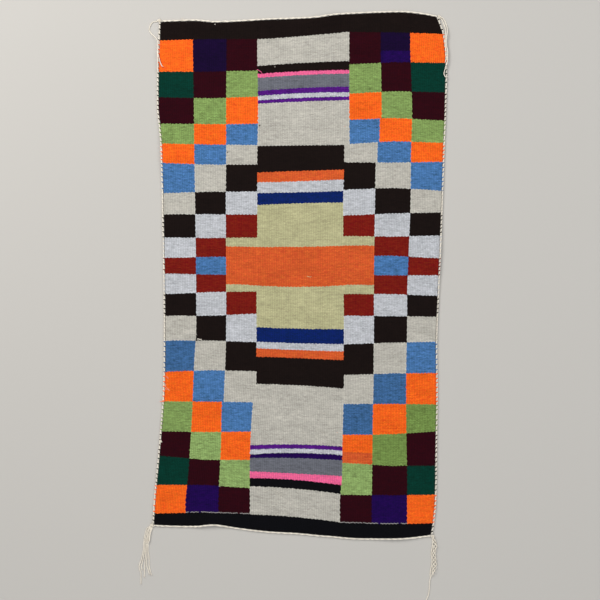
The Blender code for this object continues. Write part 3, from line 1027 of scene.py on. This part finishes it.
# Loose bits on the cloth: the yarn, its width, and x, y along it, with a height where it leaves the cloth
strayYarns = ("cordWhite", "cream", "grey", "pink", "umber", "orange", "rust", "straw")
strays = (
    ("cordWhite", 1.1, ((-230.5, 676), (-228.2, 677.6), (-226, 675.8))),
    ("cordWhite", 1.1, ((-67.8, 561), (-66.2, 562.4), (-64.8, 561.2))),
    ("cordWhite", 0.9, ((-217.5, -571.5), (-215.5, -570), (-213.6, -571.4))),
    ("cordWhite", 0.8, ((-297.5, -494.6), (-295.6, -493.4), (-294, -495))),
    ("grey", 1.3, ((-86.6, 627), (-85.1, 628.2), (-83.8, 627))),
    ("pink", 1.5, ((-115.5, 555.4), (-112, 553.4), (-108, 550.8), (-104, 548.6), (-101.3, 545.2))),
    ("umber", 3.4, ((-110, 401.6), (-107.5, 403.6), (-105.2, 402.2))),
    ("umber", 2.9, ((-196, 330.2), (-193.9, 331.8), (-192, 330.4))),
    ("orange", 1.4, ((121.6, 401), (122.6, 402), (123.6, 401))),
    ("cream", 2.2, ((60, 447), (64, 451.5), (68.5, 454.6), (73.5, 453), (77, 448))),
    ("cream", 1.9, ((66, 461), (69, 456), (71, 450.5), (70, 445))),
    ("cream", 2.0, ((24, 431), (30, 434.2), (36, 434.8), (43, 432))),
    ("cream", 2.0, ((42, 419), (48, 422), (54, 421.8), (60, 418.5))),
    ("cream", 2.1, ((54, -370.6), (60, -373.6), (67, -374.8), (77, -378.4))),
    ("cream", 2.3, ((57, -419.6), (62, -424), (68, -431), (72, -434), (78, -440.5))),
    ("umber", 1.3, ((65.6, -428), (66.8, -429), (67.8, -428.6))),
    ("cream", 2.2, ((-76, -577), (-68, -581.6), (-60, -585), (-50, -592), (-39, -599.6))),
    ("cream", 1.8, ((-66, -590), (-58, -589.4), (-50, -585), (-44, -586))),
    ("rust", 1.1, ((100.9, -425), (101.9, -426), (102.8, -425.2))),
    ("cordWhite", 1.2, ((103.5, -461.5), (106.5, -459), (110, -461), (114.5, -459.4))),
    ("umber", 1.2, ((105, -463), (109, -463.8), (112.5, -462))),
    ("cream", 2.9, ((-286, -153), (-282.6, -156), (-279.4, -160), (-276.2, -162.6))),
    ("cordWhite", 2.4, ((-277.5, -173.2), (-273, -172.6), (-268.6, -174.2), (-262.8, -173.2))),
    ("cordWhite", 0.7, ((-361.4, -272), (-359.6, -275), (-355.6, -276.2), (-354.8, -281))),
    ("cordWhite", 0.7, ((-363.4, -294), (-360.4, -296.6), (-361.6, -301), (-357.4, -305.4))),
    ("cordWhite", 0.7, ((-364.2, -305), (-360, -308.6), (-355.6, -307.6), (-351, -312.6))),
    ("orange", 2.0, ((-362, -340, 4.6), (-366, -341, 5.0), (-370, -341.6, 6.6), (-374, -341.4, 6.4),
                     (-377.5, -340, 4.2))),
    ("cordWhite", 1.1, ((-310, 684.4, 4.6), (-312, 687, 5.2), (-314, 691, 4.4), (-314.6, 695.6, 1.6))),
    ("cordWhite", 0.9, ((-318, 684.8, 4.6), (-317, 688.4, 5.0), (-317.8, 692, 3.6), (-316.6, 695.6, 1.0))),
    ("straw", 1.6, ((20, -2.6), (24, -4.6), (29, -5.4), (33, -4.2))),
)
strayShape = {
    "rest": 0.4,  # height of its middle above the cloth, and its steps, in its own widths
    "step": 0.45, "longestStep": 1.0, "sides": 6,
    "tip": 0.75,  # how thin it ends
}
lump = (-374.6, -449.0, 1.4, 0.95, 0.8)  # a small knot in the left selvage cord


def clothTop(x, y):
    rise = softHeight(lifts, x, y) + softHeight(puckers, x, y)
    return cloth["thickness"] + rise + slowWave(x, y)


def dropStrays():
    shape = newYarnShape()
    total = 0.0
    for yarn, width, points in strays:
        if len(points[0]) == 2:
            points = [(x, y, float(clothTop(x, y)) + width * strayShape["rest"]) for x, y in points]
        route = smoothRoute(points, min(strayShape["longestStep"], width * strayShape["step"]))
        dye = float(strayYarns.index(yarn))
        layStrand(shape, route, width, strayShape["sides"], dye, strayShape["tip"])
        total += routeLengths(route)[-1]
    tieKnot(shape, lump)
    return finishPiece("looseYarn", shape), total


def makeStrayMaterial():
    material, tree, shader = newMaterial("looseYarn")
    stops = [(max(0.0, k - 0.5), yarn) for k, yarn in enumerate(strayYarns)]
    spinYarn(tree, shader, yarnRamp(tree, number(tree, "dye"), stops, 0.0, float(len(strayYarns))))
    return material


# Camera, floor and lamps
def setCamera():
    lens = bpy.data.cameras.new("photoView")
    camera = newObject("photoView", lens)
    half = view["photoSize"] / 2
    x, y = (half - view["originColumn"]) * view["pixel"], (view["originRow"] - half) * view["pixel"]
    camera.location = Vector((x, y, view["height"] + cloth["thickness"])) * mm
    lens.angle = 2 * math.atan(half * view["pixel"] / view["height"])
    lens.clip_end = 60.0
    scene.camera = camera


def setFloor():
    shape = bmesh.new()
    bmesh.ops.create_grid(shape, x_segments=1, y_segments=1, size=surround["floorWidth"] / 2 * mm)
    floor = meshObject("floor", shape)
    material, _, shader = newMaterial("paleFloor", surround["floorRoughness"], 0.0)
    shader.inputs["Base Color"].default_value = linearColour(surround["floorColour"])
    floor.data.materials.append(material)


def setLamps():
    for name, (place, width, strength, tint) in lamps.items():
        lamp = bpy.data.lights.new(name, "AREA")
        lamp.shape = "SQUARE"
        lamp.size = width * mm
        lamp.energy = strength
        lamp.color = tint
        item = newObject(name, lamp)
        item.location = Vector(place) * mm
        item.rotation_euler = (-item.location).to_track_quat("-Z", "Y").to_euler()
    world = bpy.data.worlds.new("studio")
    world.use_nodes = True
    backdrop = world.node_tree.nodes["Background"]
    backdrop.inputs["Color"].default_value = (*surround["skyColour"], 1.0)
    backdrop.inputs["Strength"].default_value = surround["sky"]
    scene.world = world
    scene.view_settings.view_transform = "Standard"


# Gives a cord, a tassel or the loose yarn smooth shading and its material, and prints its length and faces
def dress(piece, length, material, label):
    piece.data.shade_smooth()
    piece.data.materials.append(material)
    print(label, round(length), "mm,", len(piece.data.polygons), "faces")


setCamera()
setFloor()
setLamps()
print("camera, floor and lamps are set")

rug = weaveCloth()
print("cloth woven:", len(rug.data.polygons), "faces")

selvageMaterial = makeSelvageMaterial()
whiteMaterial = makeWhiteMaterial()
for side in sideCord["trims"]:
    piece, length = laySideCord(side)
    chartPattern(piece.data)
    dress(piece, length, selvageMaterial, "side cord " + side)
for end in endCord["trims"]:
    dress(*layEndCord(end), whiteMaterial, "end cord " + end)

chance = random.Random(41)
for corner in tassels:
    dress(*hangTassel(corner, chance), whiteMaterial, "tassel " + corner)

dress(*dropStrays(), makeStrayMaterial(), "loose yarn")
